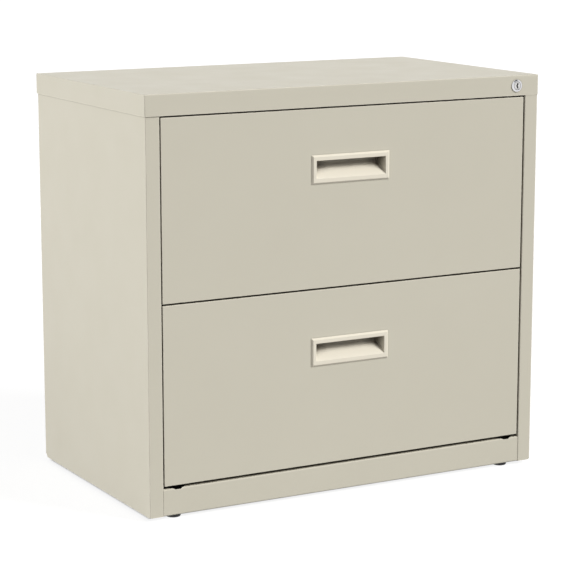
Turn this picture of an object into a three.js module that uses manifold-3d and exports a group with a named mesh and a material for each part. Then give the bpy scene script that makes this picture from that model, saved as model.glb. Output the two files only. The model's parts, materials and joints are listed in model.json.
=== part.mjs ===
// Two-drawer lateral filing cabinet of folded sheet steel, in millimetres.
// The origin is on the floor under the middle of the case: +X to the right, +Y to the back, +Z up.

import * as THREE from 'three';
import { RoundedBoxGeometry } from 'three/addons/geometries/RoundedBoxGeometry.js';
import { mergeVertices } from 'three/addons/utils/BufferGeometryUtils.js';
import Module from 'manifold-3d';

const wasm = await Module();
wasm.setup();

// Facets of round surfaces
const roundSides = 24;
const holeSides = 16;
const hexagonSides = 6;
const ballSides = 6;
const ballRings = 4;
const mergeDistance = 1e-4;

// Clearance between pieces that rest on, hold or slide past each other
const seat = 0.3;

// Case
const cabinetWidth = 762;
const cabinetDepth = 447.7;
const capSkirt = 36.1;
const capSheet = 1.2;
const capRound = 2.5;
const caseSheet = 1;
const bendRadius = 1.2;
const tightBend = 0.5;
const stileWidth = 25;
const stileReturn = 16;
const rearFlange = 20;
const heelCut = 8;
const beadCount = 3;
const beadPitch = 190;
const beadWidth = 40;
const beadDepth = 3;

// Gaps round the drawer fronts
const topGap = 2.2;
const middleGap = 2.8;
const bottomGap = 3.2;
const sideGap = 2.4;

// Base rails and counterweight
const baseRailHeight = 47.4;
const baseSheet = 1.2;
const frontRailFlange = 48;
const rearRailFlange = 60;
const accessBreak = 0.8;
const accessDepth = 2.4;
const counterweightLength = 560;
const counterweightDepth = 50;

// Levelling glides
const glideShow = 7.15;
const glideDiameter = 25;
const glideEdge = 1.5;
const glideInset = 26.5;
const glideSetback = 19.5;
const stemDiameter = 8;
const stemLength = 30;
const weldNutDiameter = 18;
const weldNutHeight = 6;

// Slotted uprights
const uprightWidth = 30;
const uprightSheet = 1.5;
const rearUprightSetback = 20;
const slotPitch = 50.8;
const slotHeight = 12;
const slotWidth = 4;
const slotMargin = 20;

// Telescopic slides
const slideHeight = 45;
const slideThickness = 12.7;
const slideSheet = 1.2;
const slideInset = 0.8;
const slideSetback = 12;
const slideRearClear = 20.7;
const slideLevel = 95;
const outerReach = 9;
const outerLip = 3.5;
const middleReach = 8.2;
const ballDiameter = 4.3;
const ballsPerRow = 3;
const ballMargin = 8;
const cageSheet = 0.8;
const cageLength = 180;

// Drawer fronts and pulls
const frontHeight = 303;
const frontDepth = 22;
const frontSheet = 1;
const frontRound = 2;
const pullWidth = 152;
const pullHeight = 49.4;
const pullProud = 4.5;
const pullBevel = 4;
const pullOpeningWidth = 133;
const pullOpeningHeight = 31;
const pullSill = 9.8;
const pullDraft = 5;
const pullRampDepth = 23;
const pullRampRise = 18;
const pullFingerRise = 5;
const pullLip = 4;
const pullWall = 1.6;
const upperPullLevel = 201.3;
const lowerPullLevel = 195.9;

// Drawer boxes
const drawerSheet = 1;
const drawerRearShort = 13.7;
const drawerRise = 8;
const drawerSideHeight = 252;
const sideFlange = 14;
const sideHem = 8;
const joinFlange = 12;
const trayLip = 12;
const trayBackHeight = 200;
const trayHem = 10;

// Hanging rails for the folders
const railSheet = 3;
const railDepth = 14;
const railTab = 4;
const railSetback = 12;
const folderSpan = 305;

// Lock
const lockInset = 45.9;
const lockDrop = 18;
const lockFaceDiameter = 22;
const lockFaceProud = 2.5;
const lockFaceEdge = 0.8;
const barrelDiameter = 18.4;
const plugDiameter = 13.4;
const plugRecess = 0.6;
const keywayWidth = 1.6;
const keywayHeight = 8;
const keywayDepth = 6;
const keywayJog = 0.9;
const lockNutFlats = 24;
const lockNutThickness = 5;
const tangWidth = 7;
const camSheet = 2;
const camMargin = 3;
const camThrow = 7;
const pinDiameter = 5;
const pinPlay = 0.45;
const pinStub = 1.2;

// Lock bar, its guides and the catches on the drawers
const barWidth = 16;
const barSheet = 2;
const barInset = 3.5;
const armHeight = 12;
const armMargin = 4;
const fingerHeight = 10;
const fingerReach = 9.5;
const fingerClear = 1.5;
const catchSheet = 1.5;
const catchClear = 2;
const catchWidth = 6.5;
const catchInset = 1.6;
const catchDrop = 25;
const catchFoot = 16;
const guideSheet = 1.5;
const guideHeight = 18;
const upperGuideLevel = 200;
const lowerGuideLevel = 40;

// Levels above the floor
const caseBottom = glideShow;
const baseTop = caseBottom + baseRailHeight;
const lowerBottom = baseTop + bottomGap;
const upperBottom = lowerBottom + frontHeight + middleGap;
const skirtBottom = upperBottom + frontHeight + topGap;
const caseTop = skirtBottom + capSkirt;
const panelTop = caseTop - capSheet - seat;

// Planes across the case: the case stands inside the skirts of the top panel
const sideX = cabinetWidth / 2 - capSheet - seat;
const frontY = -cabinetDepth / 2 + capSheet + seat;
const backY = cabinetDepth / 2 - capSheet - seat;
const flangeY = backY - caseSheet - seat;
const rearRailY = backY - caseSheet - Math.max(beadDepth, seat + caseSheet) - seat;
const insideX = sideX - caseSheet - seat;
const openingX = sideX - stileWidth;
const slideX = openingX - slideInset;
const uprightX = slideX + seat;
const drawerSideX = slideX - slideThickness - seat;
const frontHalf = openingX - sideGap;

// Planes behind the drawer fronts: the lock bar runs between the catches' feet and their lips
const linerBackY = frontY + frontDepth;
const barY = linerBackY + seat + catchSheet + catchClear;
const uprightY = barY + barSheet + seat;
const lipY = barY + barSheet + catchClear;
const slideFrontY = linerBackY + slideSetback;
const slideLength = backY - slideRearClear - slideFrontY;
const drawerDepth = slideFrontY + slideLength - drawerRearShort - linerBackY - seat;

// Places of the lock and the glides
const lockX = cabinetWidth / 2 - lockInset;
const lockZ = caseTop - lockDrop;
const skirtY = -cabinetDepth / 2;
const camY = barY - seat - camSheet;
const barrelEndY = camY - seat;
const glideX = openingX - glideInset;
const frontGlideY = frontY + glideSetback;
const rearGlideY = backY - glideSetback;
const barTravel = camThrow * Math.SQRT2;

// Finishes
const puttyEnamel = { color: 0xcac5b5, roughness: 0.5, metalness: 0 };
const creamPlastic = { color: 0xe6dfcf, roughness: 0.45, metalness: 0 };
const zincPlate = { color: 0xb9bcbc, roughness: 0.4, metalness: 1 };
const chromePlate = { color: 0xd8d8d8, roughness: 0.12, metalness: 1 };
const castIron = { color: 0x4a4846, roughness: 0.8, metalness: 0.6 };
const blackNylon = { color: 0x1c1b1a, roughness: 0.55, metalness: 0 };

// A mesh of its own name and material, in its group
function addPiece(group, name, geometry, finish) {
  const mesh = new THREE.Mesh(geometry, new THREE.MeshStandardMaterial(finish));
  mesh.name = name;
  group.add(mesh);
  return mesh;
}

function solidOf(geometry) {
  const bare = geometry.clone();
  bare.deleteAttribute('normal');
  bare.deleteAttribute('uv');
  const merged = mergeVertices(bare, mergeDistance);
  return new wasm.Manifold(new wasm.Mesh({
    numProp: 3,
    vertProperties: Float32Array.from(merged.attributes.position.array),
    triVerts: Uint32Array.from(merged.index.array),
  }));
}

function geometryOf(solid) {
  const mesh = solid.getMesh();
  const geometry = new THREE.BufferGeometry();
  geometry.setAttribute('position', new THREE.BufferAttribute(mesh.vertProperties, 3));
  geometry.setIndex(new THREE.BufferAttribute(mesh.triVerts, 1));
  geometry.computeVertexNormals();
  return geometry;
}

function cut(geometry, ...tools) {
  const left = tools.reduce((solid, tool) => solid.subtract(solidOf(tool)), solidOf(geometry));
  return geometryOf(left);
}

function join(geometry, ...others) {
  const whole = others.reduce((solid, other) => solid.add(solidOf(other)), solidOf(geometry));
  return geometryOf(whole);
}

// A box between two opposite corners
function block(low, high) {
  const size = high.map((value, axis) => value - low[axis]);
  const middle = high.map((value, axis) => (value + low[axis]) / 2);
  return new THREE.BoxGeometry(...size).translate(...middle);
}

// Two numbers, the smaller first
function inOrder(a, b) {
  return [Math.min(a, b), Math.max(a, b)];
}

function polygon(points) {
  return new THREE.Shape(points.map(([x, y]) => new THREE.Vector2(x, y)));
}

// The cross-section of a folded sheet: the path runs along its middle, and every fold is an arc
function foldedSection(path, sheet, insideRadius) {
  const points = path.map(([x, y]) => new THREE.Vector2(x, y));
  const along = points.slice(1).map((point, i) => point.clone().sub(points[i]).normalize());
  const leftOf = (direction) => new THREE.Vector2(-direction.y, direction.x);
  const middleRadius = insideRadius + sheet / 2;

  const folds = along.slice(1).map((next, i) => {
    const turn = Math.sign(along[i].cross(next));
    const angle = Math.acos(along[i].dot(next));
    const setback = middleRadius * Math.tan(angle / 2);
    const inward = leftOf(along[i]).multiplyScalar(turn);
    const centre = points[i + 1].clone().addScaledVector(along[i], -setback);
    centre.addScaledVector(inward, middleRadius);
    const start = Math.atan2(-inward.y, -inward.x);
    return { turn, centre, start, end: start + turn * angle };
  });

  const edgePoint = (end, offset) => {
    const direction = end === 0 ? along[0] : along[along.length - 1];
    const point = end === 0 ? points[0] : points[points.length - 1];
    return point.clone().addScaledVector(leftOf(direction), offset);
  };

  const shape = new THREE.Shape();
  const firstRight = edgePoint(0, -sheet / 2);
  const firstLeft = edgePoint(0, sheet / 2);
  const lastLeft = edgePoint(1, sheet / 2);
  const lastRight = edgePoint(1, -sheet / 2);
  shape.moveTo(firstRight.x, firstRight.y);
  shape.lineTo(firstLeft.x, firstLeft.y);
  for (const { turn, centre, start, end } of folds) {
    shape.absarc(centre.x, centre.y, middleRadius - turn * sheet / 2, start, end, turn < 0);
  }
  shape.lineTo(lastLeft.x, lastLeft.y);
  shape.lineTo(lastRight.x, lastRight.y);
  for (const { turn, centre, start, end } of folds.reverse()) {
    shape.absarc(centre.x, centre.y, middleRadius + turn * sheet / 2, end, start, turn > 0);
  }
  return shape;
}

// Extrusions of a section: upwards along Z, to the back along Y, and about its middle along X
function alongZ(shape, length, curveSegments = 2) {
  return new THREE.ExtrudeGeometry(shape, { depth: length, bevelEnabled: false, curveSegments });
}

function alongY(shape, length, curveSegments = 1) {
  return alongZ(shape, length, curveSegments).rotateX(Math.PI / 2).translate(0, length, 0);
}

function alongX(shape, length, curveSegments = 2) {
  const acrossToX = new THREE.Matrix4().makeBasis(
    new THREE.Vector3(0, 1, 0),
    new THREE.Vector3(0, 0, 1),
    new THREE.Vector3(1, 0, 0),
  );
  return alongZ(shape, length, curveSegments).applyMatrix4(acrossToX).translate(-length / 2, 0, 0);
}

// A round bar along Y from the front to the back plane, about the group's own axis
function rodAlongY(diameter, front, back, sides) {
  const rod = new THREE.CylinderGeometry(diameter / 2, diameter / 2, back - front, sides);
  return rod.translate(0, (front + back) / 2, 0);
}

// A round bar along Z
function rodAlongZ(diameter, bottom, top, sides) {
  const rod = new THREE.CylinderGeometry(diameter / 2, diameter / 2, top - bottom, sides);
  return rod.rotateX(Math.PI / 2).translate(0, 0, (bottom + top) / 2);
}

// A folded pan: open below, with its closed face on top and its outer edges rounded
function pan(width, height, depth, sheet, round) {
  const spare = 2 * round;
  const outer = new RoundedBoxGeometry(width, height, depth + spare, 2, round);
  outer.translate(0, 0, (depth - spare) / 2);
  const hollowX = width / 2 - sheet;
  const hollowY = height / 2 - sheet;
  const hollow = block([-hollowX, -hollowY, -2 * spare], [hollowX, hollowY, depth - sheet]);
  const spareEnd = block([-width, -height, -2 * spare], [width, height, 0]);
  return cut(outer, hollow, spareEnd);
}

// Top panel: a pan over the whole case, bored for the lock in its front skirt
function topPanel() {
  const cap = pan(cabinetWidth, cabinetDepth, capSkirt, capSheet, capRound);
  const bore = rodAlongY(barrelDiameter + 2 * seat, skirtY - capSheet, skirtY + 2 * capSheet, roundSides);
  bore.translate(lockX, 0, lockZ - skirtBottom);
  return cut(cap, bore).translate(0, 0, skirtBottom);
}

// Side panel: stile and its return in front, a flange behind, and the rear foot corner cut off
function sidePanel(side) {
  const half = caseSheet / 2;
  const path = [
    [openingX + half, frontY + stileReturn],
    [openingX + half, frontY + half],
    [sideX - half, frontY + half],
    [sideX - half, flangeY - half],
    [sideX - rearFlange, flangeY - half],
  ].map(([x, y]) => [side * x, y]);
  const sheet = alongZ(foldedSection(path, caseSheet, bendRadius), panelTop - caseBottom);
  const past = caseSheet;
  const heel = polygon([
    [flangeY + past, -past],
    [flangeY + past, heelCut + past],
    [flangeY - heelCut - past, -past],
  ]);
  return cut(sheet, alongX(heel, 2 * cabinetWidth)).translate(0, 0, caseBottom);
}

// Back panel: a flat sheet with upright stiffening beads pressed inwards
function backPanel() {
  const y = backY - caseSheet / 2;
  const bottom = caseBottom + heelCut + seat;
  const beads = Array.from({ length: beadCount }, (_, i) => (i - (beadCount - 1) / 2) * beadPitch);
  const beadPath = beads.flatMap((x) => [
    [x - beadWidth / 2, y],
    [x - beadWidth / 2 + beadDepth, y - beadDepth],
    [x + beadWidth / 2 - beadDepth, y - beadDepth],
    [x + beadWidth / 2, y],
  ]);
  const path = [[-insideX, y], ...beadPath, [insideX, y]];
  const sheet = alongZ(foldedSection(path, caseSheet, bendRadius), panelTop - bottom, 1);
  return sheet.translate(0, 0, bottom);
}

// A weld nut on a base rail's lower flange, and the hole through both
function weldNut(x, y) {
  const flangeTop = caseBottom + baseSheet;
  const nutTop = flangeTop + weldNutHeight;
  return rodAlongZ(weldNutDiameter, flangeTop - baseSheet / 2, nutTop, hexagonSides).translate(x, y, 0);
}

function stemHole(x, y) {
  const diameter = stemDiameter + 2 * seat;
  const above = caseBottom + weldNutHeight + 2 * baseSheet;
  return rodAlongZ(diameter, caseBottom - baseSheet, above, holeSides).translate(x, y, 0);
}

// Front base rail: a channel between the stiles, with a hole over each glide that breaks its top fold
function frontBaseRail() {
  const half = baseSheet / 2;
  const path = [
    [frontY + frontRailFlange, baseTop - half],
    [frontY + half, baseTop - half],
    [frontY + half, caseBottom + half],
    [frontY + frontRailFlange, caseBottom + half],
  ];
  const channel = alongX(foldedSection(path, baseSheet, bendRadius), 2 * (openingX - seat));
  const corners = [[-glideX, frontGlideY], [glideX, frontGlideY]];
  const accessDiameter = 2 * (glideSetback + accessBreak);
  const accessHoles = corners.map(([x, y]) => (
    rodAlongZ(accessDiameter, baseTop - accessDepth, baseTop + baseSheet, roundSides).translate(x, y, 0)
  ));
  const withNuts = join(channel, ...corners.map(([x, y]) => weldNut(x, y)));
  return cut(withNuts, ...accessHoles, ...corners.map(([x, y]) => stemHole(x, y)));
}

// Rear base rail: a channel open to the front, which holds the counterweight
function rearBaseRail() {
  const half = baseSheet / 2;
  const path = [
    [rearRailY - rearRailFlange, baseTop - half],
    [rearRailY - half, baseTop - half],
    [rearRailY - half, caseBottom + half],
    [rearRailY - rearRailFlange, caseBottom + half],
  ];
  const channel = alongX(foldedSection(path, baseSheet, bendRadius), 2 * (insideX - bendRadius), 1);
  const corners = [[-glideX, rearGlideY], [glideX, rearGlideY]];
  const withNuts = join(channel, ...corners.map(([x, y]) => weldNut(x, y)));
  return cut(withNuts, ...corners.map(([x, y]) => stemHole(x, y)));
}

function counterweight() {
  const back = rearRailY - baseSheet - bendRadius - seat;
  const low = [-counterweightLength / 2, back - counterweightDepth, caseBottom + baseSheet + seat];
  const high = [counterweightLength / 2, back, baseTop - baseSheet - seat];
  return block(low, high);
}

// Upright: a channel on the side panel whose web carries the slides, slotted at an even pitch
function upright(side, y) {
  const half = uprightSheet / 2;
  const path = [
    [insideX, y + half],
    [uprightX + half, y + half],
    [uprightX + half, y + uprightWidth - half],
    [insideX, y + uprightWidth - half],
  ].map(([x, depth]) => [side * x, depth]);
  const bottom = baseTop + seat;
  const height = skirtBottom - bottom;
  const channel = alongZ(foldedSection(path, uprightSheet, bendRadius), height, 1);
  const reach = inOrder(side * (uprightX - uprightSheet), side * (uprightX + 2 * uprightSheet));
  const slotCount = Math.floor((height - 2 * slotMargin - slotHeight) / slotPitch) + 1;
  const middle = y + uprightWidth / 2;
  const slots = Array.from({ length: slotCount }, (_, i) => {
    const z = slotMargin + i * slotPitch;
    return block(
      [reach[0], middle - slotWidth / 2, z],
      [reach[1], middle + slotWidth / 2, z + slotHeight],
    );
  });
  return cut(channel, ...slots).translate(0, 0, bottom);
}

// Levelling glide: a round foot on a stem that screws into the base rail
function glide() {
  const foot = glideDiameter / 2;
  const footTop = glideShow - seat;
  const profile = [
    [0, 0],
    [foot - glideEdge, 0],
    [foot, glideEdge],
    [foot, footTop - glideEdge],
    [foot - glideEdge, footTop],
    [stemDiameter / 2, footTop],
    [stemDiameter / 2, footTop + stemLength],
    [0, footTop + stemLength],
  ].map(([radius, z]) => new THREE.Vector2(radius, z));
  return new THREE.LatheGeometry(profile, roundSides).rotateX(Math.PI / 2);
}

// Slide sections: u runs from the upright towards the drawer, v up from the slide's middle.
// The balls set how far each member stands inside the one around it.
const ballRoom = ballDiameter + 2 * seat;
const outerHalf = slideHeight / 2;
const middleHalf = outerHalf - slideSheet - ballRoom;
const innerHalf = middleHalf - slideSheet - ballRoom;
const outerCageU = slideSheet + seat;
const middleU = outerCageU + cageSheet + seat;
const innerCageU = middleU + slideSheet + seat;
const innerTipU = innerCageU + cageSheet + seat;
const outerBallV = middleHalf + ballRoom / 2;
const innerBallV = innerHalf + ballRoom / 2;
const outerBallU = (middleU + outerReach - slideSheet) / 2;
const innerBallU = (innerTipU + middleU + middleReach) / 2;

// A channel section with its web at one side and its flanges reaching the other way
function channelSection(webU, tipU, halfHeight, sheet, lip) {
  const half = sheet / 2;
  const towards = Math.sign(tipU - webU);
  const web = webU + towards * half;
  const upper = [[tipU, halfHeight - half], [web, halfHeight - half]];
  if (lip > 0) {
    upper[0][0] -= towards * half;
    upper.unshift([upper[0][0], halfHeight - lip]);
  }
  const lower = upper.map(([u, v]) => [u, -v]).reverse();
  return [...upper, ...lower];
}

function slideMember(side, path) {
  const section = foldedSection(path.map(([u, v]) => [-side * u, v]), slideSheet, tightBend);
  return alongY(section, slideLength);
}

// Ball cage: a strip folded round the member inside it, with a row of balls in each flange
function ballCage(side, webU, ballU, ballV) {
  const tipU = ballU + ballDiameter / 2 - cageSheet;
  const path = channelSection(webU, tipU, ballV + cageSheet / 2, cageSheet, 0);
  const section = foldedSection(path.map(([u, v]) => [-side * u, v]), cageSheet, tightBend);
  const strip = alongY(section, cageLength);
  const pitch = (cageLength - 2 * ballMargin) / (ballsPerRow - 1);
  const balls = [-1, 1].flatMap((row) => Array.from({ length: ballsPerRow }, (_, i) => {
    const ball = new THREE.SphereGeometry(ballDiameter / 2, ballSides, ballRings);
    return ball.translate(-side * ballU, ballMargin + i * pitch, row * ballV);
  }));
  return join(strip, ...balls);
}

// The three members and two ball cages of one slide, about the slide's middle line at its front end
function slide(drawer, side) {
  const group = new THREE.Group();
  const hand = side < 0 ? 'left' : 'right';
  const prefix = `${drawer}_${hand}_slide`;
  const outer = channelSection(0, outerReach, outerHalf, slideSheet, outerLip);
  const middle = channelSection(middleU, middleU + middleReach, middleHalf, slideSheet, 0);
  const inner = channelSection(slideThickness, innerTipU, innerHalf, slideSheet, 0);
  addPiece(group, `${prefix}_cabinet_member`, slideMember(side, outer), zincPlate);
  addPiece(group, `${prefix}_middle_member`, slideMember(side, middle), zincPlate);
  addPiece(group, `${prefix}_drawer_member`, slideMember(side, inner), zincPlate);
  const outerCage = ballCage(side, outerCageU, outerBallU, outerBallV);
  const innerCage = ballCage(side, innerCageU, innerBallU, innerBallV);
  const cageStart = (slideLength - cageLength) / 2;
  addPiece(group, `${prefix}_outer_ball_cage`, outerCage, zincPlate).position.y = cageStart;
  addPiece(group, `${prefix}_inner_ball_cage`, innerCage, zincPlate).position.y = cageStart;
  return group;
}

// Drawer pieces, about the middle of the front's lower edge: y back from the front plane, z up.
// Drawer front: a pan with a cut-out for the pull
function drawerFront(pullLevel) {
  const face = pan(2 * frontHalf, frontHeight, frontDepth, frontSheet, frontRound);
  face.rotateX(Math.PI / 2).translate(0, frontDepth, frontHeight / 2);
  const sill = pullLevel - pullHeight / 2 + pullSill;
  const halfWidth = pullOpeningWidth / 2 + pullWall + seat;
  const window = block(
    [-halfWidth, -frontSheet, sill - pullWall - seat],
    [halfWidth, 2 * frontSheet, sill + pullOpeningHeight + pullFingerRise + pullWall + seat],
  );
  return cut(face, window);
}

function frontLiner() {
  const halfWidth = frontHalf - frontSheet - seat;
  const edge = frontSheet + seat;
  return block([-halfWidth, frontDepth - frontSheet, edge], [halfWidth, frontDepth, frontHeight - edge]);
}

// A block whose front face is drawn in on all four sides, with its back on the plane y = 0
function taperedPlate(width, height, depth, inset) {
  const plate = new THREE.BoxGeometry(width, depth, height).translate(0, -depth / 2, 0);
  const { position } = plate.attributes;
  for (let i = 0; i < position.count; i += 1) {
    if (position.getY(i) < -depth / 2) {
      position.setX(i, position.getX(i) - inset * Math.sign(position.getX(i)));
      position.setZ(i, position.getZ(i) - inset * Math.sign(position.getZ(i)));
    }
  }
  return plate;
}

// A slab across X whose ends are drawn in towards the back by a draft
function draftedSlab(section, width, draft, front, back) {
  const slab = alongX(polygon(section), width);
  const { position } = slab.attributes;
  for (let i = 0; i < position.count; i += 1) {
    const share = Math.max(0, (position.getY(i) - front) / (back - front));
    const x = position.getX(i);
    position.setX(i, x - Math.sign(x) * draft * share);
  }
  return slab;
}

// Recessed pull: a bevelled frame, a ramp that rises to the back and finger room behind the upper lip
function pull() {
  const face = -pullProud;
  const back = pullRampDepth - pullProud;
  const top = pullOpeningHeight + pullFingerRise;
  const frame = taperedPlate(pullWidth, pullHeight, pullProud, pullBevel);
  frame.translate(0, 0, pullHeight / 2 - pullSill);
  const cup = draftedSlab([
    [-pullProud / 2, -pullWall],
    [back + pullWall, pullRampRise - pullWall],
    [back + pullWall, top + pullWall],
    [-pullProud / 2, top + pullWall],
  ], pullOpeningWidth + 2 * pullWall, pullDraft, face, back);
  const past = pullProud;
  const rampSlope = pullRampRise / pullRampDepth;
  const recess = draftedSlab([
    [face - past, -past * rampSlope],
    [back, pullRampRise],
    [back, top],
    [face + pullLip, top],
    [face + pullLip, pullOpeningHeight],
    [face - past, pullOpeningHeight],
  ], pullOpeningWidth, pullDraft, face, back);
  return cut(join(frame, cup), recess);
}

// Drawer side: a wall with a flange under the tray, a hem for the hanging rails and a flange to the front
function drawerSide(side) {
  const half = drawerSheet / 2;
  const bottom = drawerRise + half;
  const top = drawerRise + drawerSideHeight - half;
  const path = [
    [drawerSideX - sideFlange, bottom],
    [drawerSideX - half, bottom],
    [drawerSideX - half, top],
    [drawerSideX - sideHem, top],
  ].map(([x, z]) => [side * x, z]);
  const wall = alongY(foldedSection(path, drawerSheet, bendRadius), drawerDepth);
  const across = inOrder(side * (drawerSideX - joinFlange), side * (drawerSideX - half));
  const inset = 2 * sideHem;
  const flange = block(
    [across[0], 0, drawerRise + inset],
    [across[1], drawerSheet, drawerRise + drawerSideHeight - inset],
  );
  return join(wall, flange).translate(0, frontDepth + seat, 0);
}

// Tray: the drawer's floor, with a lip behind the front and the back wall folded up from it
function drawerTray() {
  const half = drawerSheet / 2;
  const front = frontDepth + seat + drawerSheet + seat;
  const back = frontDepth + seat + drawerDepth;
  const floor = drawerRise + drawerSheet + seat;
  const path = [
    [front + half, floor + trayLip],
    [front + half, floor + half],
    [back - half, floor + half],
    [back - half, floor + trayBackHeight - half],
    [back - trayHem, floor + trayBackHeight - half],
  ];
  const width = 2 * (drawerSideX - drawerSheet - bendRadius);
  return alongX(foldedSection(path, drawerSheet, bendRadius), width, 1);
}

// Hanging rail: a bar between the drawer sides whose ends rest on the side hems
function hangingRail(y) {
  const top = drawerRise + drawerSideHeight;
  const between = drawerSideX - sideHem - seat;
  const overall = drawerSideX - drawerSheet;
  const outline = polygon([
    [-between, top - railDepth],
    [between, top - railDepth],
    [between, top + seat],
    [overall, top + seat],
    [overall, top + seat + railTab],
    [-overall, top + seat + railTab],
    [-overall, top + seat],
    [-between, top + seat],
  ]);
  return alongY(outline, railSheet).translate(0, y, 0);
}

// Levels of a catch, down from the drawer front's upper edge: the finger rises behind its lip to lock
const catchTop = frontHeight - catchDrop;
const fingerTop = catchTop - catchSheet - fingerClear - barTravel;

// Catch: a foot on the liner, an arm over the lock bar's finger and a lip behind it
function lockCatch() {
  const half = catchSheet / 2;
  const foot = frontDepth + seat + half;
  const lip = lipY - frontY + half;
  const path = [
    [foot, catchTop - catchFoot],
    [foot, catchTop - half],
    [lip, catchTop - half],
    [lip, fingerTop + fingerClear],
  ];
  const section = foldedSection(path, catchSheet, tightBend);
  return alongX(section, catchWidth, 1).translate(frontHalf - catchInset - catchWidth / 2, 0, 0);
}

function drawer(name, bottom, pullLevel) {
  const group = new THREE.Group();
  group.position.set(0, frontY, bottom);
  const boxFront = frontDepth + seat;
  const frontRail = boxFront + railSetback;
  const rearRail = frontRail + folderSpan;
  addPiece(group, `${name}_drawer_front`, drawerFront(pullLevel), puttyEnamel);
  addPiece(group, `${name}_drawer_front_liner`, frontLiner(), puttyEnamel);
  const sill = pullLevel - pullHeight / 2 + pullSill;
  addPiece(group, `${name}_drawer_pull`, pull(), creamPlastic).position.set(0, -seat, sill);
  addPiece(group, `${name}_drawer_left_side`, drawerSide(-1), puttyEnamel);
  addPiece(group, `${name}_drawer_right_side`, drawerSide(1), puttyEnamel);
  addPiece(group, `${name}_drawer_tray`, drawerTray(), puttyEnamel);
  addPiece(group, `${name}_drawer_front_hanging_rail`, hangingRail(frontRail), zincPlate);
  addPiece(group, `${name}_drawer_rear_hanging_rail`, hangingRail(rearRail), zincPlate);
  addPiece(group, `${name}_drawer_lock_catch`, lockCatch(), zincPlate);
  for (const side of [-1, 1]) {
    const runner = slide(name, side);
    runner.position.set(side * slideX, slideFrontY - frontY, slideLevel);
    group.add(runner);
  }
  return group;
}

// Lock pieces, about the lock's own axis, with y in the cabinet's frame.
// Lock housing: a round face over the skirt and a barrel through it, bored for the plug
function lockHousing() {
  const faceY = skirtY - seat - lockFaceProud;
  const face = lockFaceDiameter / 2;
  const bore = plugDiameter / 2 + seat;
  const profile = [
    [bore, barrelEndY],
    [bore, faceY],
    [face - lockFaceEdge, faceY],
    [face, faceY + lockFaceEdge],
    [face, skirtY - seat],
    [barrelDiameter / 2, skirtY - seat],
    [barrelDiameter / 2, barrelEndY],
    [bore, barrelEndY],
  ].map(([radius, y]) => new THREE.Vector2(radius, y));
  return new THREE.LatheGeometry(profile, roundSides);
}

// Plug: turns in the housing, with a stepped keyway in its face and a square tang for the cam
function lockPlug() {
  const faceY = skirtY - seat - lockFaceProud + plugRecess;
  const barrel = rodAlongY(plugDiameter, faceY, barrelEndY, roundSides);
  const half = tangWidth / 2;
  const tang = block([-half, barrelEndY - camSheet, -half], [half, camY + camSheet - seat, half]);
  const wards = [-1, 1].map((step) => {
    const x = step * keywayJog / 2;
    const ends = inOrder(0, step * keywayHeight / 2);
    return block(
      [x - keywayWidth / 2, faceY - keywayDepth, ends[0] - keywayJog / 2],
      [x + keywayWidth / 2, faceY + keywayDepth, ends[1] + keywayJog / 2],
    );
  });
  return cut(join(barrel, tang), ...wards);
}

// Cam: a round plate on the tang, with a pin that lifts the bar; at rest the pin is low, towards the bar
function lockCam() {
  const pinX = camThrow * Math.SQRT1_2;
  const pinZ = -pinX;
  const plate = rodAlongY(2 * (camThrow + pinDiameter / 2 + camMargin), camY, camY + camSheet, roundSides);
  const half = tangWidth / 2 + seat;
  const hole = block([-half, camY - camSheet, -half], [half, camY + 2 * camSheet, half]);
  const pin = rodAlongY(pinDiameter, camY + camSheet / 2, barY + barSheet + pinStub, holeSides);
  pin.translate(pinX, 0, pinZ);
  return cut(join(plate, pin), hole);
}

// Nut: a hexagon that clamps the housing to the skirt from behind
function lockNut() {
  const front = skirtY + capSheet + seat;
  const corners = lockNutFlats / Math.sqrt(3);
  const hexagon = rodAlongY(2 * corners, front, front + lockNutThickness, hexagonSides);
  const past = lockNutThickness;
  const bore = rodAlongY(barrelDiameter + 2 * seat, front - past, front + 2 * past, roundSides);
  return cut(hexagon, bore);
}

// Lock bar: an upright strip with an arm to the cam's pin and a finger at each drawer's catch
function lockBar() {
  const left = openingX + barInset;
  const right = left + barWidth;
  const back = barY + barSheet;
  const middle = (left + right) / 2;
  const pinX = lockX + camThrow * Math.SQRT1_2;
  const pinZ = lockZ - camThrow * Math.SQRT1_2;
  const bottom = lowerBottom + fingerTop - fingerHeight;
  const top = pinZ + armHeight / 2;
  const strip = block([left, barY, bottom], [right, back, top]);
  const slotLow = pinX - pinDiameter / 2 - pinPlay;
  const slotHigh = lockX + camThrow + pinDiameter / 2 + pinPlay;
  const armLow = slotLow - armMargin;
  const arm = block([armLow, barY, pinZ - armHeight / 2], [middle, back, top]);
  const fingers = [lowerBottom, upperBottom].map((front) => block(
    [openingX - fingerReach, barY, front + fingerTop - fingerHeight],
    [middle, back, front + fingerTop],
  ));
  const slotHalf = pinDiameter / 2 + pinPlay;
  const slot = block(
    [slotLow, barY - barSheet, pinZ - slotHalf],
    [slotHigh, back + barSheet, pinZ + slotHalf],
  );
  return cut(join(strip, arm, ...fingers), slot);
}

// Guide: a clip on the front upright that the lock bar slides in
function barGuide(level) {
  const half = guideSheet / 2;
  const left = openingX + barInset - seat - half;
  const right = openingX + barInset + barWidth + seat + half;
  const front = barY - seat - half;
  const back = uprightY - seat;
  const path = [[left, back], [left, front], [right, front], [right, back]];
  return alongZ(foldedSection(path, guideSheet, tightBend), guideHeight, 1).translate(0, 0, level);
}

// The whole cabinet
const cabinet = new THREE.Group();

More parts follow.
